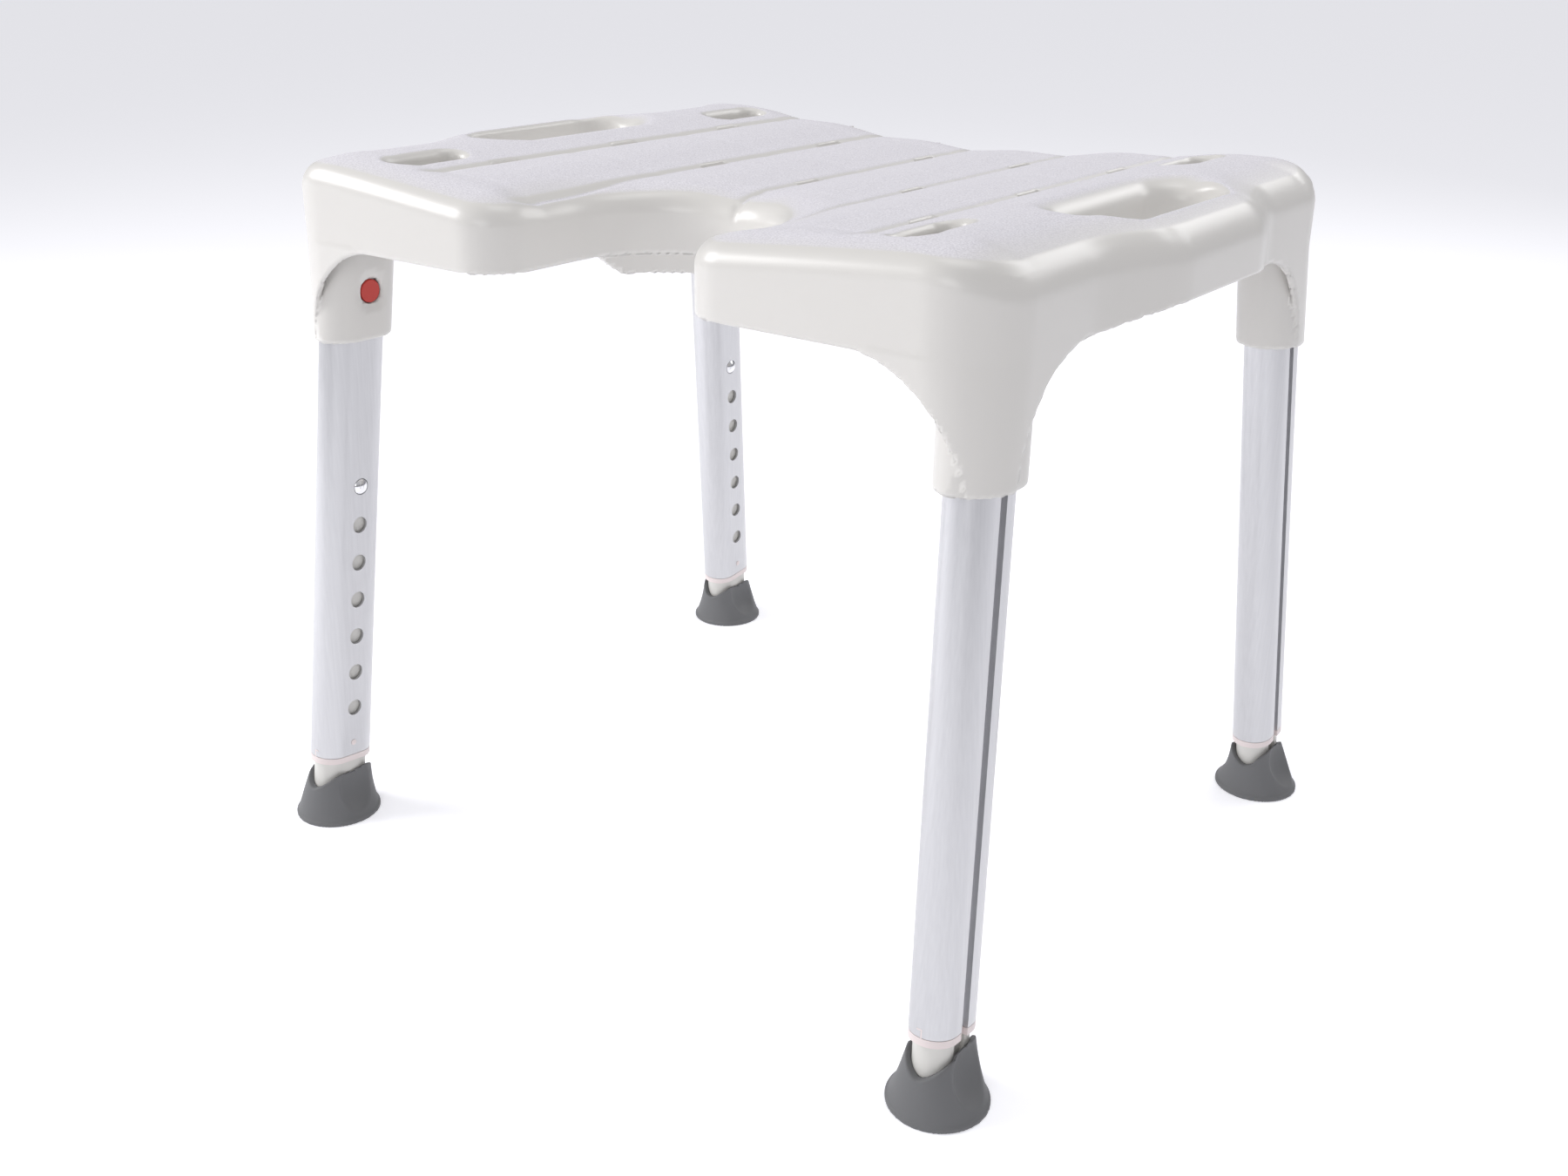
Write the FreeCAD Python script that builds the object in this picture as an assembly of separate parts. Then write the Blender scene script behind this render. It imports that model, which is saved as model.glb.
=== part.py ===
"""Height-adjustable shower stool: a moulded seat on four splayed telescopic legs.

Millimetres. +Z is up, +X is the seat's right, and -Y is the front, where the cut-out is.
The origin is on the floor, midway between the four feet.
"""
import FreeCAD
import Part
import math
import os

from FreeCAD import Vector

# Seat, in plan
SEAT_HALF_WIDTH = 240.0
SEAT_HALF_DEPTH = 198.0
SEAT_MIDDLE_Y = -4.0
SEAT_FRONT_Y = SEAT_MIDDLE_Y - SEAT_HALF_DEPTH
SEAT_BACK_Y = SEAT_MIDDLE_Y + SEAT_HALF_DEPTH
SEAT_CORNER_R = 38.0
HANDLE_BULGE = 19.0
HANDLE_BULGE_HALF_LENGTH = 108.0
HANDLE_BULGE_SHAPE = ((-1, 0), (-0.75, 0.36), (-0.5, 0.86), (0, 1), (0.5, 0.86), (0.75, 0.36), (1, 0))
CUTOUT_R = 62.0
CUTOUT_CENTRE_Y = -139.0
CUTOUT_MOUTH_R = 28.0

# Seat, in height
SKIRT_Z = 378.0
SEAT_CENTRE_Z = 415.0
DISH_RISE = 17.0
DISH_REACH = 165.0
EDGE_R = 14.0
SIDE_WALL = 4.0
TOP_WALL = 4.5
HEADROOM_Z = SEAT_CENTRE_Z + 60
MARGIN = 20.0

# Grooves, drain slots and ribs
GROOVE_PITCH = 72.6
GROOVE_R = 5.0
GROOVE_DEPTH = 2.0
SLOT_LENGTH = 22.0
SLOT_WIDTH = 4.5
SLOT_ROW_PITCH = 104.0
SLOT_ROW_BOW = {0: 21.0, 1: 16.0, 2: 0.0}
RIB_WALL = 3.0
RIB_Z = 392.0
RIB_FRONT_Y = -60.0
CROSS_RIB_HALF_LENGTH = 160.0
CROSS_RIB_YS = (-20.0, 50.0, 150.0)
CUTOUT_RIB_Z = 366.0
CUTOUT_RIB_END_Y = -119.0
CUTOUT_RIB_SLOPE_Y = -105.0

# Hand grips and accessory sockets
GRIP_X = 212.0
GRIP_HALF_WIDTH = 22.0
GRIP_HALF_LENGTH = 64.0
GRIP_WALL_Z = 386.0
SOCKET_X = 172.0
SOCKET_Y = 142.0
SOCKET_HALF_WIDTH = 9.0
SOCKET_HALF_LENGTH = 26.0
SOCKET_WALL_Z = 384.0
POCKET_WALL = 3.0

# Corner skirts that run down over the leg sleeves
SLEEVE_BOTTOM_Z = 318.0
SLEEVE_WIDTH = 36.5
SLEEVE_DEPTH = 50.0
SLEEVE_GAP = 0.25
SKIRT_FOOT_HALF_WIDTH = 240.0
SKIRT_FOOT_HALF_DEPTH = 199.0
SKIRT_FOOT_R = 28.0
SKIRT_WALL = 4.0
ARCH_LOW_Z = SLEEVE_BOTTOM_Z - 10
FRONT_ARCH = ((165, SKIRT_Z), (197, 366), (213, 349), (222, 333), (227, ARCH_LOW_Z))
SIDE_ARCH = ((104, SKIRT_Z), (128, 373), (149, 361), (160, 346), (166, 328), (168, ARCH_LOW_Z))

# Leg axis: where it meets the floor, and how far it leans in for each mm of height
LEG_FOOT_X = 236.4
LEG_FOOT_Y = 207.0
LEAN_X = 0.049
LEAN_Y = 0.108

# Leg parts, measured along the leg axis from the floor
TUBE_WIDTH = 26.2
TUBE_DEPTH = 40.4
TUBE_WALL = 1.6
TUBE_BOTTOM = 44.0
TUBE_TOP = 384.0
TUBE_EDGE = 0.4
CHANNEL_WIDTH = 6.0
CHANNEL_DEPTH = 3.0
HOLE_PITCH = 25.0
HOLE_COUNT = 7
HOLE_R = 5.25
TOP_HOLE = 228.0
COLLAR_BOTTOM = 40.0
LINER_TOP = 61.0
NUB_R = 1.9
NUB_PROUD = 0.3
NUB_HEIGHT = TOP_HOLE - HOLE_COUNT * HOLE_PITCH
LATCH_WIDTH = 0.8
LATCH_HEIGHT = 5.0
LATCH_HOOK = 2.4
INNER_WIDTH = 21.0
INNER_DEPTH = 35.2
INNER_WALL = 2.6
INNER_BOTTOM = 7.0
INNER_TOP = 296.0
INNER_CHANNEL_WIDTH = 9.8
INNER_CHANNEL_DEPTH = 2.4
SLIDE_GAP = 0.1
FIT_GAP = 0.05

# Snap pin and release button; their axes point inwards across the leg
PIN_R = 4.9
PIN_DOME = 2.4
PIN_FLANGE_R = 6.2
PIN_FLANGE = 1.0
LEAF_WIDTH = 8.0
LEAF_THICKNESS = 0.5
LEAF_DROP = 42.0
BUTTON_HEIGHT = 350.5
BUTTON_R = 7.0
BUTTON_FLANGE_R = 8.4
BUTTON_FLANGE = 2.0
BUTTON_DISH_R = 12.5
BUTTON_DISH_DEPTH = 2.0
CARRIER_HALF_HEIGHT = 18.0
SPRING_SEAT_X = 1.0
SPRING_R = 5.0
SPRING_WIRE_R = 0.5
SPRING_TURNS = 4
SPRING_STEPS = 8

# Foot
FOOT_CENTRE = Vector(236.4, -206.6, 0.0)
FOOT_R = 27.0
FOOT_LIP = 4.0
FOOT_TOP_Z = 31.0
FOOT_NECK_WALL = 3.2
TREAD_RADII = (8.0, 14.0, 20.0)
TREAD_HALF_WIDTH = 1.0
TREAD_DEPTH = 1.5

MIRROR_X = Vector(1, 0, 0)
MIRROR_Y = Vector(0, 1, 0)
CORNERS = {
    "front_right": (),
    "front_left": (MIRROR_X,),
    "back_right": (MIRROR_Y,),
    "back_left": (MIRROR_X, MIRROR_Y),
}


# ---------------------------------------------------------------- shapes
def rounded_rectangle(x0, x1, y0, y1, radius, z=0.0):
    """A closed wire of four lines and four quarter arcs."""
    centres = (
        (x1 - radius, y0 + radius, -90),
        (x1 - radius, y1 - radius, 0),
        (x0 + radius, y1 - radius, 90),
        (x0 + radius, y0 + radius, 180),
    )
    arcs = []
    for cx, cy, start in centres:
        centre = Vector(cx, cy, z)
        circle = Part.Circle(centre, Vector(0, 0, 1), radius)
        arcs.append(Part.Arc(circle, math.radians(start), math.radians(start + 90)).toShape())
    edges = []
    for index, arc in enumerate(arcs):
        following = arcs[(index + 1) % 4]
        edges.append(arc)
        edges.append(Part.makeLine(arc.lastVertex().Point, following.firstVertex().Point))
    return Part.Wire(Part.__sortEdges__(edges))


def centred(width, depth, radius, z=0.0):
    """A rounded rectangle centred on the Z axis."""
    return rounded_rectangle(-width / 2, width / 2, -depth / 2, depth / 2, radius, z)


def prism(wire, z0, z1):
    """The solid between two heights, with the wire as its section."""
    face = Part.Face(wire)
    face.translate(Vector(0, 0, z0 - wire.BoundBox.ZMin))
    return face.extrude(Vector(0, 0, z1 - z0))


def stadium(width, depth, z0, z1):
    """A bar with nearly full-round ends, standing on the Z axis."""
    return prism(centred(width, depth, min(width, depth) / 2 - 0.5), z0, z1)


def box(x0, x1, y0, y1, z0, z1):
    return Part.makeBox(x1 - x0, y1 - y0, z1 - z0, Vector(x0, y0, z0))


def side_prism(points, y0, y1):
    """Extrudes an X-Z outline along Y."""
    corners = [Vector(x, y0, z) for x, z in points]
    face = Part.Face(Part.makePolygon(corners + corners[:1]))
    return face.extrude(Vector(0, y1 - y0, 0))


def slot(x, y, half_width, half_length, z0, z1):
    """An upright obround bar, long in Y."""
    wire = rounded_rectangle(
        x - half_width, x + half_width, y - half_length, y + half_length, half_width - 0.01
    )
    return prism(wire, z0, z1)


def inward_cylinder(radius, x0, x1, height):
    """A bar across the leg, along its own X axis."""
    return Part.makeCylinder(radius, x1 - x0, Vector(x0, 0, height), Vector(1, 0, 0))


def dished_z(x, drop=0.0):
    """Height of the seat's top at x, before grooves and rounding: a dish that flattens outwards."""
    return SEAT_CENTRE_Z - drop + DISH_RISE * (1 - math.exp(-((x / DISH_REACH) ** 2)))


def leg_placement():
    """Places the leg's own frame: Z up the leg, X out to the stool's side."""
    up = Vector(-LEAN_X, LEAN_Y, 1).normalize()
    out = Vector(1, 0, 0) - up * up.x
    out.normalize()
    across = up.cross(out)
    matrix = FreeCAD.Matrix(
        out.x, across.x, up.x, LEG_FOOT_X,
        out.y, across.y, up.y, -LEG_FOOT_Y,
        out.z, across.z, up.z, 0.0,
        0.0, 0.0, 0.0, 1.0,
    )
    return FreeCAD.Placement(matrix)


def on_leg(shape):
    """Moves a shape from the leg's own frame to the front right leg."""
    placed = shape.copy()
    placed.Placement = leg_placement().multiply(placed.Placement)
    return placed


def at_corner(shape, mirrors):
    """Mirrors a front right shape to another corner of the stool."""
    for normal in mirrors:
        shape = shape.mirror(Vector(0, 0, 0), normal)
    return shape


def at_all_corners(shape):
    return [at_corner(shape, mirrors) for mirrors in CORNERS.values()]


# ---------------------------------------------------------------- seat
def seat_outline(inset=0.0):
    """Plan of the seat, or of its hollow: rounded corners, bulged sides, front cut-out."""
    w = SEAT_HALF_WIDTH - inset
    r = SEAT_CORNER_R - inset
    front = SEAT_FRONT_Y + inset
    back = SEAT_BACK_Y - inset
    reach = HANDLE_BULGE_HALF_LENGTH
    cutout = CUTOUT_R + inset
    mouth = CUTOUT_MOUTH_R - inset
    mouth_x = cutout + mouth
    mouth_y = front + mouth

    def quarter(x, y, radius, start):
        circle = Part.Circle(Vector(x, y, 0), Vector(0, 0, 1), radius)
        return Part.Arc(circle, math.radians(start), math.radians(start + 90)).toShape()

    def line(x0, y0, x1, y1):
        return Part.makeLine(Vector(x0, y0, 0), Vector(x1, y1, 0))

    side = Part.BSplineCurve()
    side.interpolate(
        Points=[
            Vector(w + HANDLE_BULGE * rise, SEAT_MIDDLE_Y + reach * along, 0)
            for along, rise in HANDLE_BULGE_SHAPE
        ],
        InitialTangent=Vector(0, 1, 0),
        FinalTangent=Vector(0, 1, 0),
    )
    half = [
        quarter(0, CUTOUT_CENTRE_Y, cutout, 0),
        line(cutout, CUTOUT_CENTRE_Y, cutout, mouth_y),
        quarter(mouth_x, mouth_y, mouth, 180),
        line(mouth_x, front, w - r, front),
        quarter(w - r, front + r, r, -90),
        line(w, front + r, w, SEAT_MIDDLE_Y - reach),
        side.toShape(),
        line(w, SEAT_MIDDLE_Y + reach, w, back - r),
        quarter(w - r, back - r, r, 0),
        line(w - r, back, 0, back),
    ]
    mirrored = [edge.mirror(Vector(0, 0, 0), MIRROR_X) for edge in half]
    return Part.Wire(Part.__sortEdges__(half + mirrored))


def dished_bar(drop, z0):
    """A bar along Y, wider than the seat, whose top is the seat's dish."""
    w = SEAT_HALF_WIDTH + 2 * HANDLE_BULGE
    y = SEAT_FRONT_Y - MARGIN
    xs = [w * step / 6 for step in range(-6, 7)]
    dish = Part.BSplineCurve()
    dish.interpolate([Vector(x, y, dished_z(x, drop)) for x in xs])
    left = Vector(-w, y, z0)
    right = Vector(w, y, z0)
    edges = [
        dish.toShape(),
        Part.makeLine(dish.EndPoint, right),
        Part.makeLine(right, left),
        Part.makeLine(left, dish.StartPoint),
    ]
    face = Part.Face(Part.Wire(edges))
    return face.extrude(Vector(0, 2 * (SEAT_HALF_DEPTH + MARGIN), 0))


def rounded_seat_block(outline, drop, z0, radius):
    """The seat's outline under the dished top, with its top edge rounded."""
    block = prism(outline, z0, HEADROOM_Z).common(dished_bar(drop, z0 - 1))
    lowest_top = dished_z(0, drop) - 1
    rim = [edge for edge in block.Edges if edge.BoundBox.ZMin > lowest_top]
    return block.makeFillet(radius, rim)


def arch_cutter(points, across, middle):
    """Cuts the skirt away between two legs, below its level edge, in a big concave arc."""

    def edge(side):
        curve = Part.BSplineCurve()
        vectors = [middle + across * (side * reach) + Vector(0, 0, z) for reach, z in points]
        curve.interpolate(Points=vectors, InitialTangent=across * side, FinalTangent=Vector(0, 0, -1))
        return curve

    right = edge(1)
    left = edge(-1)
    edges = [
        right.toShape(),
        Part.makeLine(right.EndPoint, left.EndPoint),
        left.toShape(),
        Part.makeLine(left.StartPoint, right.StartPoint),
    ]
    depth = across.cross(Vector(0, 0, 1)) * (4 * SEAT_HALF_WIDTH)
    face = Part.Face(Part.Wire(Part.__sortEdges__(edges)))
    face.translate(depth * -0.5)
    return face.extrude(depth)


def corner_skirts():
    """Thin drafted walls at the four corners, down over the outside of the sleeves."""

    def level(half_width, half_depth, radius, middle, z):
        return rounded_rectangle(
            -half_width, half_width, middle - half_depth, middle + half_depth, radius, z
        )

    def block(inset):
        top = level(
            SEAT_HALF_WIDTH - inset, SEAT_HALF_DEPTH - inset, SEAT_CORNER_R - inset, SEAT_MIDDLE_Y, SKIRT_Z
        )
        foot = level(
            SKIRT_FOOT_HALF_WIDTH - inset, SKIRT_FOOT_HALF_DEPTH - inset, SKIRT_FOOT_R - inset,
            0.0, SLEEVE_BOTTOM_Z,
        )
        return Part.makeLoft([foot, top], True, True)

    front_and_back = arch_cutter(FRONT_ARCH, Vector(1, 0, 0), Vector(0, 0, 0))
    sides = arch_cutter(SIDE_ARCH, Vector(0, 1, 0), Vector(0, SEAT_MIDDLE_Y, 0))
    return block(0).cut(block(SKIRT_WALL)).cut(front_and_back).cut(sides)


def leg_sleeves():
    """The sockets that the leg tubes push up into."""
    sleeve = on_leg(stadium(SLEEVE_WIDTH, SLEEVE_DEPTH, ARCH_LOW_Z, HEADROOM_Z))
    under_top = dished_z(LEG_FOOT_X) - TOP_WALL / 2
    level = box(0, 2 * SEAT_HALF_WIDTH, -2 * SEAT_HALF_DEPTH, 0, SLEEVE_BOTTOM_Z, under_top)
    return at_all_corners(sleeve.common(level))


def sleeve_bores():
    """The tube's place in each sleeve, with the button's hole and its dished surround."""
    gap = 2 * SLEEVE_GAP
    bore = stadium(TUBE_WIDTH + gap, TUBE_DEPTH + gap, ARCH_LOW_Z - MARGIN, TUBE_TOP + 2)
    face_x = -SLEEVE_WIDTH / 2
    hole = inward_cylinder(BUTTON_R + 2 * SLEEVE_GAP, face_x - 5, 0, BUTTON_HEIGHT)
    dish = inward_cylinder(BUTTON_DISH_R, face_x - 5, face_x + BUTTON_DISH_DEPTH, BUTTON_HEIGHT)
    return at_all_corners(on_leg(bore.fuse([hole, dish])))


def cutout_rib(top):
    """A curved rib behind the cut-out that hangs below the skirt and slopes up at its ends."""
    inner = CUTOUT_R + SIDE_WALL
    centre = Vector(0, CUTOUT_CENTRE_Y, CUTOUT_RIB_Z)
    height = top - CUTOUT_RIB_Z
    ring = Part.makeCylinder(inner + RIB_WALL, height, centre)
    ring = ring.cut(Part.makeCylinder(inner, height, centre))
    profile = [
        (CUTOUT_RIB_SLOPE_Y, CUTOUT_RIB_Z),
        (0, CUTOUT_RIB_Z),
        (0, top),
        (CUTOUT_RIB_END_Y, top),
        (CUTOUT_RIB_END_Y, SKIRT_Z),
    ]
    corners = [Vector(-2 * inner, y, z) for y, z in profile]
    face = Part.Face(Part.makePolygon(corners + corners[:1]))
    return ring.common(face.extrude(Vector(4 * inner, 0, 0)))


def under_ribs():
    """Ribs under the seat between the rows of slots, and the one behind the cut-out."""
    ribs = []
    half = RIB_WALL / 2
    top = dished_z(SEAT_HALF_WIDTH)
    for column in (-1.5, -0.5, 0.5, 1.5):
        x = column * GROOVE_PITCH
        ribs.append(box(x - half, x + half, RIB_FRONT_Y, SEAT_BACK_Y - RIB_WALL, RIB_Z, top))
    for y in CROSS_RIB_YS:
        ribs.append(box(-CROSS_RIB_HALF_LENGTH, CROSS_RIB_HALF_LENGTH, y - half, y + half, RIB_Z, top))
    ribs.append(cutout_rib(top))
    return ribs


def grips(wall, z0, z1):
    """The hand grip openings, or with a wall the pockets around them."""
    width = GRIP_HALF_WIDTH + wall
    length = GRIP_HALF_LENGTH + wall
    return [slot(side * GRIP_X, SEAT_MIDDLE_Y, width, length, z0, z1) for side in (-1, 1)]


def sockets(wall, z0, z1):
    """The accessory sockets at the four corners, or with a wall their tubes."""
    width = SOCKET_HALF_WIDTH + wall
    length = SOCKET_HALF_LENGTH + wall
    places = [
        (side * SOCKET_X, SEAT_MIDDLE_Y + end * SOCKET_Y) for side in (-1, 1) for end in (-1, 1)
    ]
    return [slot(x, y, width, length, z0, z1) for x, y in places]


def drain_slots():
    """Slots in the grooves. The middle three grooves have none beside the cut-out."""
    cutters = []
    for column in range(-2, 3):
        x = column * GROOVE_PITCH
        rows = (-1, 0, 1) if abs(column) == 2 else (0, 1)
        for row in rows:
            y = SEAT_MIDDLE_Y + row * SLOT_ROW_PITCH
            if row == 1:
                y += SLOT_ROW_BOW[abs(column)]
            cutters.append(slot(x, y, SLOT_WIDTH / 2, SLOT_LENGTH / 2, RIB_Z, HEADROOM_Z))
    return cutters


def grooves():
    """Shallow round-bottomed grooves from front to back, between the seat's strips."""
    cutters = []
    length = 2 * (SEAT_HALF_DEPTH + MARGIN)
    for column in range(-2, 3):
        x = column * GROOVE_PITCH
        centre = Vector(x, SEAT_FRONT_Y - MARGIN, dished_z(x) + GROOVE_R - GROOVE_DEPTH)
        cutters.append(Part.makeCylinder(GROOVE_R, length, centre, Vector(0, 1, 0)))
    return cutters


def seat_shell():
    """One moulding: dished top, skirt, ribs, pockets and the four leg sleeves."""
    outline = seat_outline()
    outer = rounded_seat_block(outline, 0.0, SKIRT_Z, EDGE_R)
    cavity = rounded_seat_block(seat_outline(SIDE_WALL), TOP_WALL, SKIRT_Z - 1, EDGE_R)
    below = ARCH_LOW_Z
    inside = under_ribs()
    inside += grips(POCKET_WALL, GRIP_WALL_Z, HEADROOM_Z)
    inside += sockets(POCKET_WALL, SOCKET_WALL_Z, HEADROOM_Z)
    inside += leg_sleeves()
    limits = outer.fuse(prism(outline, below, SKIRT_Z))
    held = inside[0].fuse(inside[1:]).common(limits)
    shell = outer.cut(cavity).fuse([held, corner_skirts()])
    cutters = grips(0.0, below, HEADROOM_Z) + sockets(0.0, below, HEADROOM_Z)
    cutters += drain_slots() + grooves() + sleeve_bores()
    return shell.cut(cutters).removeSplitter()


# ---------------------------------------------------------------- legs, in the leg's own frame
def with_channel(bar, width, floor_x):
    """Takes the lengthwise channel out of a bar's outward face."""
    ends = bar.BoundBox
    return bar.cut(box(floor_x, TUBE_WIDTH, -width / 2, width / 2, ends.ZMin - 1, ends.ZMax + 1))


def tube_outside(z0, z1):
    bar = stadium(TUBE_WIDTH, TUBE_DEPTH, z0, z1)
    return with_channel(bar, CHANNEL_WIDTH, TUBE_WIDTH / 2 - CHANNEL_DEPTH)


def tube_inside(gap, z0, z1):
    """The tube's hollow, made smaller all round by a gap."""
    wall = 2 * TUBE_WALL + 2 * gap
    bar = stadium(TUBE_WIDTH - wall, TUBE_DEPTH - wall, z0, z1)
    floor_x = TUBE_WIDTH / 2 - CHANNEL_DEPTH - TUBE_WALL - gap
    return with_channel(bar, CHANNEL_WIDTH + wall, floor_x)


def latch(gap):
    """The collar's small hooked catch in the tube's front edge."""
    front = -TUBE_DEPTH / 2
    back = front + TUBE_WALL
    half = LATCH_WIDTH / 2 + gap
    top = TUBE_BOTTOM + LATCH_HEIGHT + gap
    stem = box(-half, half, front, back, TUBE_BOTTOM - 1, top)
    hook = box(-half - LATCH_HOOK, half, front, back, top - 2 * half, top)
    return stem.fuse(hook)


def leg_tube():
    """Anodised extrusion with a row of height holes and the button's hole."""
    bar = tube_outside(TUBE_BOTTOM, TUBE_TOP)
    end = [edge for edge in bar.Edges if edge.BoundBox.ZMax < TUBE_BOTTOM + TUBE_EDGE]
    bar = bar.makeChamfer(TUBE_EDGE, end)
    tube = bar.cut(tube_inside(0.0, TUBE_BOTTOM - 1, TUBE_TOP + 1))
    cutters = []
    for step in range(HOLE_COUNT):
        height = TOP_HOLE - step * HOLE_PITCH
        cutters.append(inward_cylinder(HOLE_R, -TUBE_WIDTH, 0, height))
    cutters.append(inward_cylinder(NUB_R + FIT_GAP, -TUBE_WIDTH, 0, NUB_HEIGHT))
    cutters.append(inward_cylinder(BUTTON_R + SLEEVE_GAP, -TUBE_WIDTH, 0, BUTTON_HEIGHT))
    cutters.append(latch(FIT_GAP))
    return tube.cut(cutters)


def tube_collar():
    """Plastic ring under the tube with a liner inside it, which the inner leg runs in."""
    rim = tube_outside(COLLAR_BOTTOM, TUBE_BOTTOM)
    liner = tube_inside(FIT_GAP, TUBE_BOTTOM, LINER_TOP)
    liner = with_channel(liner, INNER_CHANNEL_WIDTH, TUBE_WIDTH / 2 - 2 * CHANNEL_DEPTH)
    nub = inward_cylinder(NUB_R, -TUBE_WIDTH / 2 - NUB_PROUD, -INNER_WIDTH / 2 - 0.5, NUB_HEIGHT)
    front = -TUBE_DEPTH / 2
    half = LATCH_WIDTH / 2
    bridge = box(-half, half, front, front + 2 * TUBE_WALL, TUBE_BOTTOM - 1, TUBE_BOTTOM + 2)
    solid = rim.fuse([liner, nub, latch(0.0), bridge])
    gap = 2 * SLIDE_GAP
    bore = stadium(INNER_WIDTH + gap, INNER_DEPTH + gap, 0, 100)
    key_floor = INNER_WIDTH / 2 - INNER_CHANNEL_DEPTH + SLIDE_GAP
    bore = with_channel(bore, INNER_CHANNEL_WIDTH - gap, key_floor)
    return solid.cut(bore)


def inner_leg():
    """The telescopic plastic leg, with the same channel as the tube and one pin hole."""
    bar = stadium(INNER_WIDTH, INNER_DEPTH, INNER_BOTTOM, INNER_TOP)
    floor_x = INNER_WIDTH / 2 - INNER_CHANNEL_DEPTH
    bar = with_channel(bar, INNER_CHANNEL_WIDTH, floor_x)
    hollow = stadium(
        INNER_WIDTH - 2 * INNER_WALL, INNER_DEPTH - 2 * INNER_WALL, INNER_BOTTOM + 4, INNER_TOP + 1
    )
    hollow = with_channel(hollow, INNER_CHANNEL_WIDTH + 2 * INNER_WALL, floor_x - INNER_WALL)
    hole = inward_cylinder(PIN_R + FIT_GAP, -INNER_WIDTH, 0, TOP_HOLE)
    return bar.cut([hollow, hole])


def snap_pin():
    """Domed pin that the leaf spring holds out through the tube's hole."""
    shoulder = -TUBE_WIDTH / 2
    inside = INNER_WALL - INNER_WIDTH / 2
    shank = inward_cylinder(PIN_R, shoulder, inside + FIT_GAP, TOP_HOLE)
    ball_r = (PIN_R**2 + PIN_DOME**2) / (2 * PIN_DOME)
    ball = Part.makeSphere(ball_r, Vector(shoulder - PIN_DOME + ball_r, 0, TOP_HOLE))
    dome = ball.common(box(shoulder - PIN_DOME - 1, shoulder, -10, 10, TOP_HOLE - 10, TOP_HOLE + 10))
    flange = inward_cylinder(PIN_FLANGE_R, inside + FIT_GAP, inside + FIT_GAP + PIN_FLANGE, TOP_HOLE)
    return shank.fuse([dome, flange])


def snap_spring():
    """Bent steel strip: one leaf behind the pin, the other against the far wall."""
    t = LEAF_THICKNESS
    near = INNER_WALL - INNER_WIDTH / 2 + FIT_GAP + PIN_FLANGE + FIT_GAP
    far = INNER_WIDTH / 2 - INNER_CHANNEL_DEPTH - INNER_WALL - 0.1
    top = TOP_HOLE + 7
    low = TOP_HOLE - LEAF_DROP
    middle = (near + far) / 2
    outline = [
        (near, top),
        (near, TOP_HOLE - 7),
        (middle - 2.5, low + 2),
        (middle - 1.2, low),
        (middle + 1.2, low),
        (middle + 2.5, low + 2),
        (far, TOP_HOLE - 7),
        (far, top),
        (far - t, top),
        (far - t, TOP_HOLE - 7),
        (middle + 2.5 - t, low + 2 + t),
        (middle + 1.2 - t / 2, low + t),
        (middle - 1.2 + t / 2, low + t),
        (middle - 2.5 + t, low + 2 + t),
        (near + t, TOP_HOLE - 7),
        (near + t, top),
    ]
    return side_prism(outline, -LEAF_WIDTH / 2, LEAF_WIDTH / 2)


def button_rear_x():
    """Back of the button's flange at rest, just inside the tube's wall."""
    return -TUBE_WIDTH / 2 + TUBE_WALL + 2 * FIT_GAP + BUTTON_FLANGE


def release_button():
    """Red push button that locks the tube in the seat's sleeve."""
    tip = -SLEEVE_WIDTH / 2 + BUTTON_DISH_DEPTH - 0.4
    rear = button_rear_x()
    shank = inward_cylinder(BUTTON_R, tip, rear, BUTTON_HEIGHT)
    edge = [e for e in shank.Edges if abs(e.BoundBox.XMax - tip) < 1e-6]
    shank = shank.makeFillet(0.8, edge)
    flange = inward_cylinder(BUTTON_FLANGE_R, rear - BUTTON_FLANGE, rear, BUTTON_HEIGHT)
    return shank.fuse(flange)


def button_carrier():
    """Plug in the top of the tube that guides the button and backs its spring."""
    low = BUTTON_HEIGHT - CARRIER_HALF_HEIGHT
    high = BUTTON_HEIGHT + CARRIER_HALF_HEIGHT
    plug = tube_inside(FIT_GAP, low, high)
    bore = inward_cylinder(BUTTON_FLANGE_R + 0.1, -TUBE_WIDTH, SPRING_SEAT_X, BUTTON_HEIGHT)
    return plug.cut(bore)


def release_spring():
    """Coil spring behind the release button."""
    start = button_rear_x() + SPRING_WIRE_R + FIT_GAP
    end = SPRING_SEAT_X - SPRING_WIRE_R - FIT_GAP
    points = []
    for step in range(SPRING_TURNS * SPRING_STEPS + 1):
        turn = 2 * math.pi * step / SPRING_STEPS
        along = start + (end - start) * step / (SPRING_TURNS * SPRING_STEPS)
        across = SPRING_R * Vector(0, math.cos(turn), math.sin(turn))
        points.append(Vector(along, 0, BUTTON_HEIGHT) + across)
    path = Part.BSplineCurve()
    path.interpolate(points)
    first = path.FirstParameter
    section = Part.Wire(Part.makeCircle(SPRING_WIRE_R, path.value(first), Vector(*path.tangent(first)[0])))
    return Part.Wire(path.toShape()).makePipeShell([section], True, True)


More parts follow.
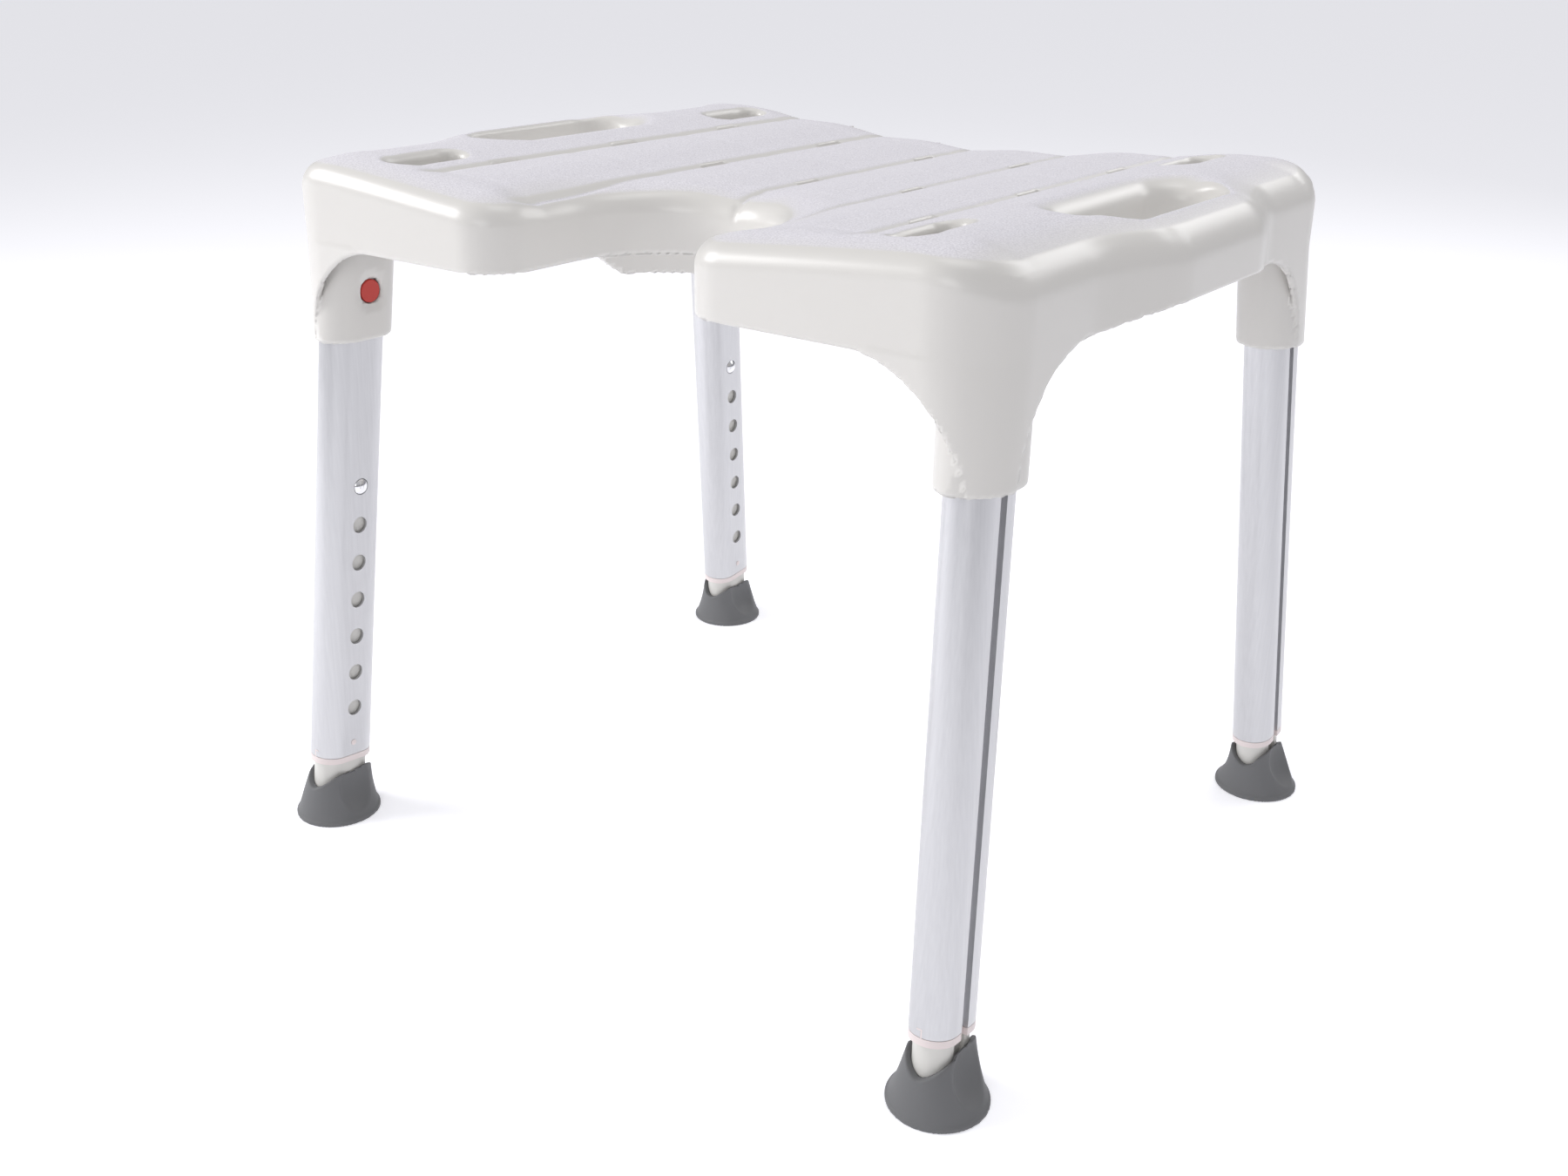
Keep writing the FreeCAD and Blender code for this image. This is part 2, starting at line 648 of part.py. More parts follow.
# ---------------------------------------------------------------- foot, in the stool's frame
def foot():
    """Round rubber boot with a level sole and a neck that hugs the inner leg."""

    def section(half_x, half_y, radius, z):
        """The boot's outline at a height, following the leg's lean."""
        x = FOOT_CENTRE.x - LEAN_X * z
        y = FOOT_CENTRE.y + LEAN_Y * z
        return rounded_rectangle(x - half_x, x + half_x, y - half_y, y + half_y, radius, z)

    neck_x = INNER_WIDTH / 2 + FOOT_NECK_WALL
    neck_y = INNER_DEPTH / 2 + FOOT_NECK_WALL
    flare = FOOT_R - 0.5
    lip = Part.makeCylinder(FOOT_R, FOOT_LIP, FOOT_CENTRE)
    low = section(flare, flare, flare - 0.5, FOOT_LIP - 0.1)
    high = section(neck_x, neck_y, neck_x - 0.5, FOOT_TOP_Z)
    body = Part.makeLoft([low, high], True, True)
    room = 2 * FIT_GAP
    pocket = on_leg(stadium(INNER_WIDTH + room, INNER_DEPTH + room, INNER_BOTTOM - 0.1, INNER_TOP))
    boot = lip.fuse(body).cut(pocket)
    for radius in TREAD_RADII:
        outer = Part.makeCylinder(radius + TREAD_HALF_WIDTH, TREAD_DEPTH, FOOT_CENTRE)
        inner = Part.makeCylinder(radius - TREAD_HALF_WIDTH, TREAD_DEPTH, FOOT_CENTRE)
        boot = boot.cut(outer.cut(inner))
    return boot


LEG_PARTS = {
    "leg_tube": leg_tube,
    "tube_collar": tube_collar,
    "button_carrier": button_carrier,
    "release_button": release_button,
    "release_spring": release_spring,
    "inner_leg": inner_leg,
    "snap_pin": snap_pin,
    "snap_spring": snap_spring,
}


def save(shape, node):
    solids = shape.Solids
    ok = shape.isValid() and len(solids) == 1
    print(f"{node:28s} solids {len(solids)} valid {ok} volume {shape.Volume:10.0f} mm3")
    solids[0].exportStep(f"parts/{node}.step")


def main():
    os.makedirs("parts", exist_ok=True)
    save(seat_shell(), "seat_shell")
    corner_parts = {name: on_leg(build()) for name, build in LEG_PARTS.items()}
    corner_parts["foot"] = foot()
    for corner, mirrors in CORNERS.items():
        for name, shape in corner_parts.items():
            save(at_corner(shape, mirrors), f"{corner}_{name}")


main()
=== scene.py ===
"""Looks of the shower stool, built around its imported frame. Shapes are worked out in millimetres."""
import math

import bpy
import numpy as np
from mathutils import Matrix


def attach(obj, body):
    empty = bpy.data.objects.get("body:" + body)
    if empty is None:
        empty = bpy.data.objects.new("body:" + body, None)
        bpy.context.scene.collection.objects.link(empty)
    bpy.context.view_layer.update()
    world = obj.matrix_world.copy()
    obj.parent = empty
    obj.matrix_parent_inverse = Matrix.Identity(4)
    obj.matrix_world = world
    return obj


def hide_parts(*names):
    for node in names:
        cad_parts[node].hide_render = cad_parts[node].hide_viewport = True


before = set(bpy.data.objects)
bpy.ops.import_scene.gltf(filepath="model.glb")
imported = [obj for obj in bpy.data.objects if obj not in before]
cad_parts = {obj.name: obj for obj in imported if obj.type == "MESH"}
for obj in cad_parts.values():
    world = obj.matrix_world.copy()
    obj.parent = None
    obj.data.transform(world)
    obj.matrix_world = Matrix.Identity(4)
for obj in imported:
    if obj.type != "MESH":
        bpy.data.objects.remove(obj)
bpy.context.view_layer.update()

MM = 0.001
ROOT_BODY = "seat_and_tubes"
CORNERS = {
    "front_right": (1, -1),
    "front_left": (-1, -1),
    "back_right": (1, 1),
    "back_left": (-1, 1),
}

# Seat, in plan
HALF_WIDTH = 240.0
HALF_DEPTH = 198.0
MIDDLE_Y = -4.0
CORNER_R = 38.0
BULGE = 19.0
BULGE_FLAT = 38.0
BULGE_REACH = 108.0
CUT_R = 62.0
CUT_Y = -139.0
MOUTH_R = 27.0

# Seat, in height
SKIRT_Z = 378.0
BULGE_LIFT = 8.0
CENTRE_Z = 415.0
DISH_RISE = 17.0
DISH_REACH = 165.0
BULGE_LIFT_X = (150.0, 220.0)
WALL = 4.0
EDGE_R = 1.6
TOP_WALL = 4.5
POCKET_WALL = 6.0
POCKET_R = 1.0
POCKET_Z = 385.0
HOLLOW_R = 8.0
JOIN_LAP = 3.0

# How the top falls towards the edge and then turns down: at the ends, and at the sides
FALL_REACH = (34.0, 52.0)
FALL = (6.0, 14.0)
RIDGE_R = (9.0, 12.0)
FALL_LIMIT = 1.2
SIDE_BLEND = (-40.0, 30.0)

# Strips, grooves, slots and ribs
PITCH = 72.6
ROW_PITCH = 104.0
ROW_BOW = (21.0, 16.0, 0.0)
GROOVE_HALF = 3.0
GROOVE_DEPTH = 2.0
CROWN = 2.0
SEAM_DEPTH = 0.35
SEAM_HALF = 5.0
STRIPS_FADE = (22.0, 44.0)
SLOT_HALF_WIDTH = 3.1
SLOT_HALF_LENGTH = 8.8
SLOT_EDGE_R = 0.8
RIB_HALF = 1.5
RIB_INSET = 4.0
RIB_STATIONS = 17
RIB_Z = 392.0
RIB_FRONT_Y = -60.0
RIB_COLUMNS = (-1.5, -0.5, 0.5, 1.5)
CROSS_RIB_YS = (-20.0, 50.0, 150.0)
CROSS_RIB_REACH = 160.0
CUT_RIB_HALF = 2.6
CUT_RIB_FILLET = 1.0
CUT_RIB_Z = 366.0
CUT_RIB_SLOPE_Y = -105.0
CUT_RIB_END_Y = -119.0

# Openings
GRIP_X = 212.0
GRIP_HALF_WIDTH = 22.0
GRIP_STRAIGHT = 42.0
GRIP_DIP = 9.0
GRIP_DIP_REACH = 20.0
GRIP_DIP_SIDE = (-12.0, 14.0)
SOCKET = (172.0, 142.0)
SOCKET_HALF_WIDTH = 9.0
SOCKET_STRAIGHT = 17.0
RIM_R = 5.0

# Leg sleeves and the skirt's tongues over them
SLEEVE_Z = 318.0
SLEEVE_HALF = (18.25, 25.0)
SLEEVE_EDGE_R = 2.0
SLEEVE_FILLET = 1.5
SLEEVE_SINK = 1.0
BORE_HALF = (13.35, 20.45)
BORE_TOP = 386.0
BORE_EDGE_R = 0.5
LEG_BASE = np.array([236.4, -207.0, 0.0])
LEG_LEAN = np.array([-0.049, 0.108, 1.0])
BUTTON_HEIGHT = 350.5
BUTTON_HOLE_R = 7.5
DIMPLE_R = 12.5
DIMPLE_DEPTH = 2.0
TONGUE_FOOT = (240.0, 199.0, 28.0)
TONGUE_LAP = 4.0
DRAFT_RANGE = (-0.1, 1.1)
ARCH_HEIGHT = 70.0
ARCH_MARGIN = 1.0
FRONT_ARCH = (165.0, 62.0, 1.85)
SIDE_ARCH = (104.0, 64.0, 2.1)

# Rubber foot
FOOT_CENTRE = (236.4, -206.6)
FOOT_R = 27.0
FOOT_LIP = 2.6
FOOT_NECK = (13.7, 20.8)
FOOT_POCKET = (10.55, 17.65)
FOOT_POCKET_FLOOR = 7.0
FOOT_NECK_Z = 32.0
FLARE_INSET = 0.6
FLARE_POWER = 0.8
NOSE_Z = 23.5
HORN_RISE = 10.0
HORN_POWER = 1.6
RIM_STEP = 2.0
RIM_STEP_X = (4.0, 8.0)
RIM_STEP_Y = (-8.0, -6.0)
RIM_EDGE_R = 1.2
SCALLOP_R = 24.0
SCALLOP_AT = (35.5, 27.0)
LIP_R = 0.8
LIP_FILLET = 1.0
SOLE_EDGE_R = 0.4
TREADS = (8.0, 14.0, 20.0)
TREAD_HALF = 1.0
TREAD_DEPTH = 1.5

# Meshing: coarse and fine steps across the seat, then its steps along and up, and the foot's
SEAT_STEPS = (4.0, 2.3, 3.2, 2.4)
SEAT_FINE_X = ((0, 5), (64, 80), (141, 149), (158, 262))
FOOT_STEP = 1.1
SETTLE_ROUNDS = 4
SLOPE_STEP = 0.4
AGREE_COSINE = 0.1

# Colours
SEAT_COLOUR = (0.61, 0.595, 0.57)
SPECKLE = ((0.54, 0.525, 0.56), (0.70, 0.685, 0.72))

# Lights: place, aim, size and power
LIGHTS = {
    "key": ((-1.5, -1.0, 1.2), (0, 0, 0.4), (1.0, 0.8), 26),
    "fill": ((0.7, -1.9, 1.0), (0, 0, 0.35), (0.8, 0.8), 7),
    "back": ((0.6, 1.8, 1.6), (0, 0, 0.4), (1.6, 0.8), 14),
    "top": ((0.2, 0.2, 2.2), (0, 0, 0.4), (1.0, 1.0), 8),
}

# Camera, in metres and radians, with its lens in millimetres
CAMERA_PLACE = (0.5756, -0.7923, 0.5632)
CAMERA_AZIMUTH = 0.6450
CAMERA_ELEVATION = 0.3968
CAMERA_ROLL = 0.0105
CAMERA_LENS = 37.62
SENSOR_WIDTH = 36.0
FLOOR_SIZE = 60.0


# ---------------------------------------------------------------- solids as distance fields
def both(a, b, radius=0.0):
    """The part that two solids share, with the edge where they meet rounded."""
    edge = np.hypot(np.maximum(a + radius, 0.0), np.maximum(b + radius, 0.0))
    return np.minimum(np.maximum(a, b), -radius) + edge


def either(a, b, radius=0.0):
    """Two solids joined, with a fillet where they meet."""
    return -both(-a, -b, radius)


def without(a, b, radius=0.0):
    """The first solid with the second taken out of it, and the rim rounded."""
    return both(a, -b, radius)


def smooth_step(value, low, high):
    t = np.clip((value - low) / (high - low), 0.0, 1.0)
    return t * t * (3 - 2 * t)


def blend(pair, share):
    return pair[0] + share * (pair[1] - pair[0])


def rounded_rect(dx, dy, radius):
    """Distance to a rounded rectangle, from how far a point is past its sides."""
    return both(dx, dy, radius)


def capsule(dx, dy, straight, radius):
    """Distance to an obround bar whose straight part runs along Y."""
    return np.hypot(dx, np.maximum(np.abs(dy) - straight, 0.0)) - radius


def stadium(u, v, half_u, half_v):
    return rounded_rect(np.abs(u) - half_u, np.abs(v) - half_v, min(half_u, half_v) - 0.5)


# ---------------------------------------------------------------- seat
def bulge_share(y):
    """1 along the middle of the seat's side, falling to 0 where the bulge ends."""
    return 1 - smooth_step(np.abs(y - MIDDLE_Y), BULGE_FLAT, BULGE_REACH)


def seat_plan(x, y):
    """Distance to the seat's outline in plan, with its bulged sides and cut-out."""
    ax = np.abs(x)
    past_side = ax - HALF_WIDTH - BULGE * bulge_share(y)
    plate = rounded_rect(past_side, np.abs(y - MIDDLE_Y) - HALF_DEPTH, CORNER_R)
    cut = np.where(y > CUT_Y, np.hypot(x, y - CUT_Y), ax) - CUT_R
    return without(plate, cut, MOUTH_R)


def side_share(x, y):
    """0 near the seat's front, back and cut-out, 1 near its sides."""
    past_side = np.abs(x) - HALF_WIDTH
    past_end = np.abs(y - MIDDLE_Y) - HALF_DEPTH
    return smooth_step(past_side - past_end, *SIDE_BLEND)


def grip_plan(x, y):
    return capsule(np.abs(x) - GRIP_X, y - MIDDLE_Y, GRIP_STRAIGHT, GRIP_HALF_WIDTH)


def socket_plan(x, y):
    dy = np.abs(y - MIDDLE_Y) - SOCKET[1]
    return capsule(np.abs(x) - SOCKET[0], dy, SOCKET_STRAIGHT, SOCKET_HALF_WIDTH)


def strip_relief(x, y):
    """How far the crowned strips, their grooves and the faint seams lie below the plain dish."""
    from_groove = x - PITCH * np.clip(np.round(x / PITCH), -2, 2)
    strip = np.clip(from_groove / PITCH, -0.5, 0.5)
    crown = CROWN * np.cos(math.pi * strip) ** 2
    groove = GROOVE_DEPTH * np.exp(-((from_groove / GROOVE_HALF) ** 2))
    from_seam = (y - MIDDLE_Y) / ROW_PITCH - 0.5
    from_seam = (from_seam - np.round(from_seam)) * ROW_PITCH
    seam = SEAM_DEPTH * np.exp(-((from_seam / SEAM_HALF) ** 2))
    from_front = y - MIDDLE_Y + HALF_DEPTH
    return (crown + groove + seam) * smooth_step(from_front, *STRIPS_FADE)


def dish(x):
    """Height of the plain dished seat, without its strips or its edge."""
    return CENTRE_Z + DISH_RISE * (1 - np.exp(-((x / DISH_REACH) ** 2)))


def seat_top(x, y, plan):
    """Height of the seat's top before its edge is turned down."""
    share = side_share(x, y)
    reach = blend(FALL_REACH, share)
    fall = blend(FALL, share) * np.clip(plan / reach + 1, 0.0, FALL_LIMIT) ** 2
    inner = smooth_step(GRIP_X - np.abs(x), *GRIP_DIP_SIDE)
    dip = GRIP_DIP * inner * np.clip(1 - grip_plan(x, y) / GRIP_DIP_REACH, 0.0, 1.0) ** 2
    return dish(x) - strip_relief(x, y) - fall - dip


def leg_frame(x, y, z):
    """Coordinates across, along and up the nearest leg: outwards, fore and aft, and along it."""
    up = LEG_LEAN / np.linalg.norm(LEG_LEAN)
    out = np.array([1.0, 0.0, 0.0]) - up * up[0]
    out /= np.linalg.norm(out)
    across = np.cross(up, out)
    px = np.abs(x) - LEG_BASE[0]
    py = -np.abs(y) - LEG_BASE[1]
    return [px * a[0] + py * a[1] + z * a[2] for a in (out, across, up)]


def drain_slots(x, y):
    """All the slots in the grooves; the middle three grooves have none by the cut-out."""
    holes = 1e3
    for column in range(-2, 3):
        for row in (-1, 0, 1):
            if row == -1 and abs(column) < 2:
                continue
            cy = MIDDLE_Y + row * ROW_PITCH + (ROW_BOW[abs(column)] if row == 1 else 0.0)
            hole = capsule(x - column * PITCH, y - cy, SLOT_HALF_LENGTH, SLOT_HALF_WIDTH)
            holes = np.minimum(holes, hole)
    return holes


def past_arch(position, z, start, width, power):
    """Negative where the skirt's tongue stays: outside the concave arc between two legs."""
    u = np.maximum(position - start, 0.0) / width
    v = np.clip((z - SKIRT_Z) / ARCH_HEIGHT + 1, 0.0, 1.0)
    reach = (u**power + v**power) ** (1 / power)
    return np.maximum((1 - reach) * width, start + ARCH_MARGIN - position)


def tongue_block(x, y, z):
    """Distance to the drafted block whose outside the skirt's tongues follow."""
    low = np.clip((SKIRT_Z - z) / (SKIRT_Z - SLEEVE_Z), *DRAFT_RANGE)
    from_middle = np.abs(y - MIDDLE_Y * (1 - low))
    side = np.abs(x) - blend((HALF_WIDTH, TONGUE_FOOT[0]), low)
    end = from_middle - blend((HALF_DEPTH, TONGUE_FOOT[1]), low)
    return rounded_rect(side, end, blend((CORNER_R, TONGUE_FOOT[2]), low))


def tongues(x, y, z):
    """Walls that carry the skirt down over the outside of the sleeves."""
    outer = tongue_block(x, y, z)
    wall = without(outer, outer + WALL)
    wall = both(wall, past_arch(np.abs(x), z, *FRONT_ARCH), EDGE_R)
    wall = both(wall, past_arch(np.abs(y - MIDDLE_Y), z, *SIDE_ARCH), EDGE_R)
    return both(wall, both(SLEEVE_Z - z, z - SKIRT_Z - TONGUE_LAP), EDGE_R)


def cutout_rib(x, y, z):
    """The curved rib that hangs behind the cut-out and slopes up at its ends."""
    ring = np.abs(np.hypot(x, y - CUT_Y) - CUT_R - WALL - CUT_RIB_HALF) - CUT_RIB_HALF
    slope = (SKIRT_Z - CUT_RIB_Z) / (CUT_RIB_SLOPE_Y - CUT_RIB_END_Y)
    lower_edge = CUT_RIB_Z - z + slope * np.maximum(CUT_RIB_SLOPE_Y - y, 0.0)
    return both(ring, both(lower_edge, CUT_RIB_END_Y - y))


def leg_sleeves(x, y, z):
    """The sockets that the leg tubes push up into."""
    u, v, _ = leg_frame(x, y, z)
    return both(stadium(u, v, *SLEEVE_HALF), SLEEVE_Z - z, SLEEVE_EDGE_R)


def sleeve_bores(x, y, z):
    """The tube's place in each sleeve, with the button's hole and its dished surround."""
    u, v, s = leg_frame(x, y, z)
    bore = both(stadium(u, v, *BORE_HALF), s - BORE_TOP)
    bore = both(bore, tongue_block(x, y, z) + WALL)
    from_button = np.hypot(v, s - BUTTON_HEIGHT)
    ball_r = (DIMPLE_R**2 + DIMPLE_DEPTH**2) / (2 * DIMPLE_DEPTH)
    dimple = np.hypot(from_button, u + SLEEVE_HALF[0] - DIMPLE_DEPTH + ball_r) - ball_r
    dimple = both(dimple, from_button - DIMPLE_R)
    hole = both(from_button - BUTTON_HOLE_R, u)
    return np.minimum(np.minimum(bore, dimple), hole)


def seat_field(x, y, z):
    """The whole moulded seat. Negative inside the plastic, in millimetres."""
    plan = seat_plan(x, y)
    top = seat_top(x, y, plan)
    solid = both(plan, z - top, blend(RIDGE_R, side_share(x, y)))
    solid = without(solid, grip_plan(x, y), RIM_R)
    solid = without(solid, socket_plan(x, y), RIM_R)
    hollow = both(plan + WALL, z - top + TOP_WALL, HOLLOW_R)
    hollow = both(hollow, solid + POCKET_WALL, POCKET_R)
    hollow = either(hollow, both(plan + WALL, z - POCKET_Z))
    skirt = SKIRT_Z + BULGE_LIFT * bulge_share(y) * smooth_step(np.abs(x), *BULGE_LIFT_X)
    shell = without(both(solid, skirt - z, EDGE_R), hollow, EDGE_R)
    within = both(plan + JOIN_LAP, z - top + JOIN_LAP)
    shell = either(shell, both(cutout_rib(x, y, z), within), CUT_RIB_FILLET)
    below = both(tongue_block(x, y, z) + SLEEVE_SINK, z - SKIRT_Z)
    sleeve = both(leg_sleeves(x, y, z), np.minimum(within, below))
    shell = either(shell, sleeve, SLEEVE_FILLET)
    shell = np.minimum(shell, tongues(x, y, z))
    shell = without(shell, sleeve_bores(x, y, z), BORE_EDGE_R)
    return without(shell, both(drain_slots(x, y), RIB_Z - z), SLOT_EDGE_R)


# ---------------------------------------------------------------- foot
def foot_field(x, y, z):
    """The front right rubber boot: a round base, scooped sides and a rim that rises at the sides."""
    dx = x - FOOT_CENTRE[0] - LEG_LEAN[0] * z
    dy = y - FOOT_CENTRE[1] - LEG_LEAN[1] * z
    radius = np.hypot(x - FOOT_CENTRE[0], y - FOOT_CENTRE[1])
    share = np.clip((z - FOOT_LIP) / (FOOT_NECK_Z - FOOT_LIP), 0.0, 1.0) ** FLARE_POWER
    body = blend((radius - FOOT_R + FLARE_INSET, stadium(dx, dy, *FOOT_NECK)), share)
    side = np.clip(np.abs(dx) / FOOT_NECK[0], 0.0, 1.0)
    step = RIM_STEP * smooth_step(dy, *RIM_STEP_Y) * smooth_step(dx, *RIM_STEP_X)
    rim = NOSE_Z + HORN_RISE * side**HORN_POWER + step
    body = both(body, z - rim, RIM_EDGE_R)
    scallop = np.hypot(np.hypot(np.abs(dx) - SCALLOP_AT[0], dy), z - SCALLOP_AT[1]) - SCALLOP_R
    body = without(body, scallop, LIP_R)
    lip = both(radius - FOOT_R, z - FOOT_LIP, LIP_R)
    body = both(either(body, lip, LIP_FILLET), -z, SOLE_EDGE_R)
    u, v, s = leg_frame(x, y, z)
    body = without(body, both(stadium(u, v, *FOOT_POCKET), FOOT_POCKET_FLOOR - s), SOLE_EDGE_R)
    for tread in TREADS:
        body = without(body, both(np.abs(radius - tread) - TREAD_HALF, z - TREAD_DEPTH))
    return body


# ---------------------------------------------------------------- from a field to a mesh
def crossings(values, axes, axis):
    """Where the surface cuts the grid's edges along one axis: a mask and the points."""
    count = values.shape[axis]
    near = values.take(range(count - 1), axis)
    far = values.take(range(1, count), axis)
    index = np.nonzero((near < 0) != (far < 0))
    share = near[index] / (near[index] - far[index])
    points = [axes[k][index[k]] for k in range(3)]
    line = axes[axis]
    points[axis] = line[index[axis]] + share * (line[index[axis] + 1] - line[index[axis]])
    return index, np.stack(points, 1), near[index] < 0


def surface_net(field, axes):
    """A closed mesh of quads on the field's zero surface: one vertex in each cell it crosses."""
    values = field(axes[0][:, None, None], axes[1][None, :, None], axes[2][None, None, :])
    values = np.broadcast_to(values, [len(a) for a in axes])
    shape = [len(a) - 1 for a in axes]
    cells, points, quads = [], [], []
    for axis in range(3):
        index, where, leaving = crossings(values, axes, axis)
        first, second = [k for k in range(3) if k != axis]
        corners = []
        for a, b in ((1, 1), (0, 1), (0, 0), (1, 0)):
            cell = list(index)
            cell[first] = index[first] - a
            cell[second] = index[second] - b
            corners.append(np.ravel_multi_index(cell, shape))
            cells.append(corners[-1])
            points.append(where)
        quad = np.stack(corners, 1)
        # the two other axes come in the opposite turning order when the edge runs along Y
        flip = leaving if axis == 1 else ~leaving
        quad[flip] = quad[flip][:, ::-1]
        quads.append(quad)
    used, place = np.unique(np.concatenate(cells), return_inverse=True)
    sums = np.zeros((len(used), 3))
    np.add.at(sums, place, np.concatenate(points))
    vertices = sums / np.bincount(place)[:, None]
    faces = np.searchsorted(used, np.concatenate(quads))
    return vertices, faces


def gradient(field, points, step=0.05):
    """How steeply the field rises at each point, along X, Y and Z."""
    slope = np.zeros_like(points)
    for k in range(3):
        shift = np.zeros(3)
        shift[k] = step
        slope[:, k] = (field(*(points + shift).T) - field(*(points - shift).T)) / (2 * step)
    return slope


def settle(field, points, reach):
    """Moves the points onto the surface along its slope, by no more than reach."""
    start = points.copy()
    for _ in range(SETTLE_ROUNDS):
        slope = gradient(field, points)
        size = np.maximum((slope**2).sum(1), 0.05)
        points = points - slope * (field(*points.T) / size)[:, None]
        points = start + np.clip(points - start, -reach, reach)
    return points


def grid_lines(low, high, coarse, fine=0.0, zones=()):
    """Grid lines at a coarse step, and at a fine one inside the zones."""
    lines = [low]
    while lines[-1] < high:
        here = lines[-1]
        near = any(start - coarse < here < end for start, end in zones)
        lines.append(here + (fine if near else coarse))
    return np.array(lines)


def mirrored(lines):
    """The same grid lines on both sides of zero."""
    return np.concatenate([-lines[::-1], lines])


def unit(vectors):
    """The vectors made one long."""
    return vectors / (np.linalg.norm(vectors, axis=1)[:, None] + 1e-9)


def shading_normals(field, vertices, faces):
    """The field's slope at each vertex, or its faces' mean normal where the two disagree."""
    a, b, c, d = [vertices[faces[:, k]] for k in range(4)]
    flat = np.cross(c - a, d - b)
    mean = np.zeros_like(vertices)
    for k in range(4):
        np.add.at(mean, faces[:, k], flat)
    mean = unit(mean)
    slope = unit(gradient(field, vertices, SLOPE_STEP))
    agree = (mean * slope).sum(1) > AGREE_COSINE
    return np.where(agree[:, None], slope, mean)


def mesh_piece(name, vertices, faces, normals, material, body):
    """A piece from millimetre vertices, riding on a body; smooth-shaded if it has normals."""
    mesh = bpy.data.meshes.new(name)
    mesh.from_pydata((vertices * MM).tolist(), [], faces.tolist())
    if normals is not None:
        mesh.shade_smooth()
        mesh.normals_split_custom_set_from_vertices(normals.tolist())
    mesh.materials.append(material)
    piece = bpy.data.objects.new(name, mesh)
    bpy.context.scene.collection.objects.link(piece)
    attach(piece, body)
    return piece


# ---------------------------------------------------------------- materials
def material(name, colour, roughness, metallic=0.0):
    """A node material with a Principled shader; returns it with its shader node."""
    made = bpy.data.materials.new(name)
    made.use_nodes = True
    shader = made.node_tree.nodes["Principled BSDF"]
    shader.inputs["Base Color"].default_value = (*colour, 1.0)
    shader.inputs["Roughness"].default_value = roughness
    shader.inputs["Metallic"].default_value = metallic
    return made, shader


def plain(name, colour, roughness, metallic=0.0):
    return material(name, colour, roughness, metallic)[0]


def noise(tree, scale, stretch=(1.0, 1.0, 1.0)):
    """A noise texture in the object's own space, stretched along its axes."""
    place = tree.nodes.new("ShaderNodeTexCoord")
    mapping = tree.nodes.new("ShaderNodeMapping")
    mapping.inputs["Scale"].default_value = stretch
    texture = tree.nodes.new("ShaderNodeTexNoise")
    texture.inputs["Scale"].default_value = scale
    texture.inputs["Detail"].default_value = 3.0
    tree.links.new(place.outputs["Object"], mapping.inputs["Vector"])
    tree.links.new(mapping.outputs["Vector"], texture.inputs["Vector"])
    return texture.outputs["Fac"]


def ramp(tree, value, low, high, from_low=0.0, from_high=1.0):
    """A value or colour that goes from low to high as the input goes over its range."""
    node = tree.nodes.new("ShaderNodeValToRGB")
    node.color_ramp.elements[0].position = from_low
    node.color_ramp.elements[1].position = from_high
    node.color_ramp.elements[0].color = (*low, 1.0)
    node.color_ramp.elements[1].color = (*high, 1.0)
    tree.links.new(value, node.inputs["Fac"])
    return node.outputs["Color"]


def grain(tree, shader, scale, strength, depth):
    """A fine moulded grain that only tilts the surface."""
    bump = tree.nodes.new("ShaderNodeBump")
    bump.inputs["Strength"].default_value = strength
    bump.inputs["Distance"].default_value = depth
    tree.links.new(noise(tree, scale), bump.inputs["Height"])
    tree.links.new(bump.outputs["Normal"], shader.inputs["Normal"])


def seat_plastic():
    """Light grey plastic: matt and finely speckled on top, glossier where it turns down."""
    made, shader = material("seat_plastic", SEAT_COLOUR, 0.28)
    tree = made.node_tree
    facing = tree.nodes.new("ShaderNodeSeparateXYZ")
    geometry = tree.nodes.new("ShaderNodeNewGeometry")
    tree.links.new(geometry.outputs["Normal"], facing.inputs["Vector"])
    upward = ramp(tree, facing.outputs["Z"], (0, 0, 0), (1, 1, 1), 0.90, 0.985)
    speckle = ramp(tree, noise(tree, 1100.0), *SPECKLE, 0.35, 0.65)
    mix = tree.nodes.new("ShaderNodeMixRGB")
    mix.inputs["Color1"].default_value = (*SEAT_COLOUR, 1.0)
    tree.links.new(upward, mix.inputs["Fac"])
    tree.links.new(speckle, mix.inputs["Color2"])
    tree.links.new(mix.outputs["Color"], shader.inputs["Base Color"])
    gloss = ramp(tree, upward, (0.3, 0.3, 0.3), (0.62, 0.62, 0.62))
    tree.links.new(gloss, shader.inputs["Roughness"])
    grain(tree, shader, 900.0, 0.12, 0.0002)
    return made


def tube_aluminium():
    """Anodised aluminium with fine lines along the tube."""
    made, shader = material("tube_aluminium", (0.56, 0.56, 0.58), 0.3, 0.85)
    tree = made.node_tree
    lines = noise(tree, 60.0, (12.0, 12.0, 0.05))
    tone = ramp(tree, lines, (0.52, 0.52, 0.535), (0.62, 0.62, 0.635))
    gloss = ramp(tree, lines, (0.26, 0.26, 0.26), (0.42, 0.42, 0.42))
    tree.links.new(tone, shader.inputs["Base Color"])
    tree.links.new(gloss, shader.inputs["Roughness"])
    return made


def foot_rubber():
    """Dark grey rubber with a fine grain."""
    made, shader = material("foot_rubber", (0.135, 0.137, 0.141), 0.6)
    grain(made.node_tree, shader, 1200.0, 0.1, 0.0003)
    return made


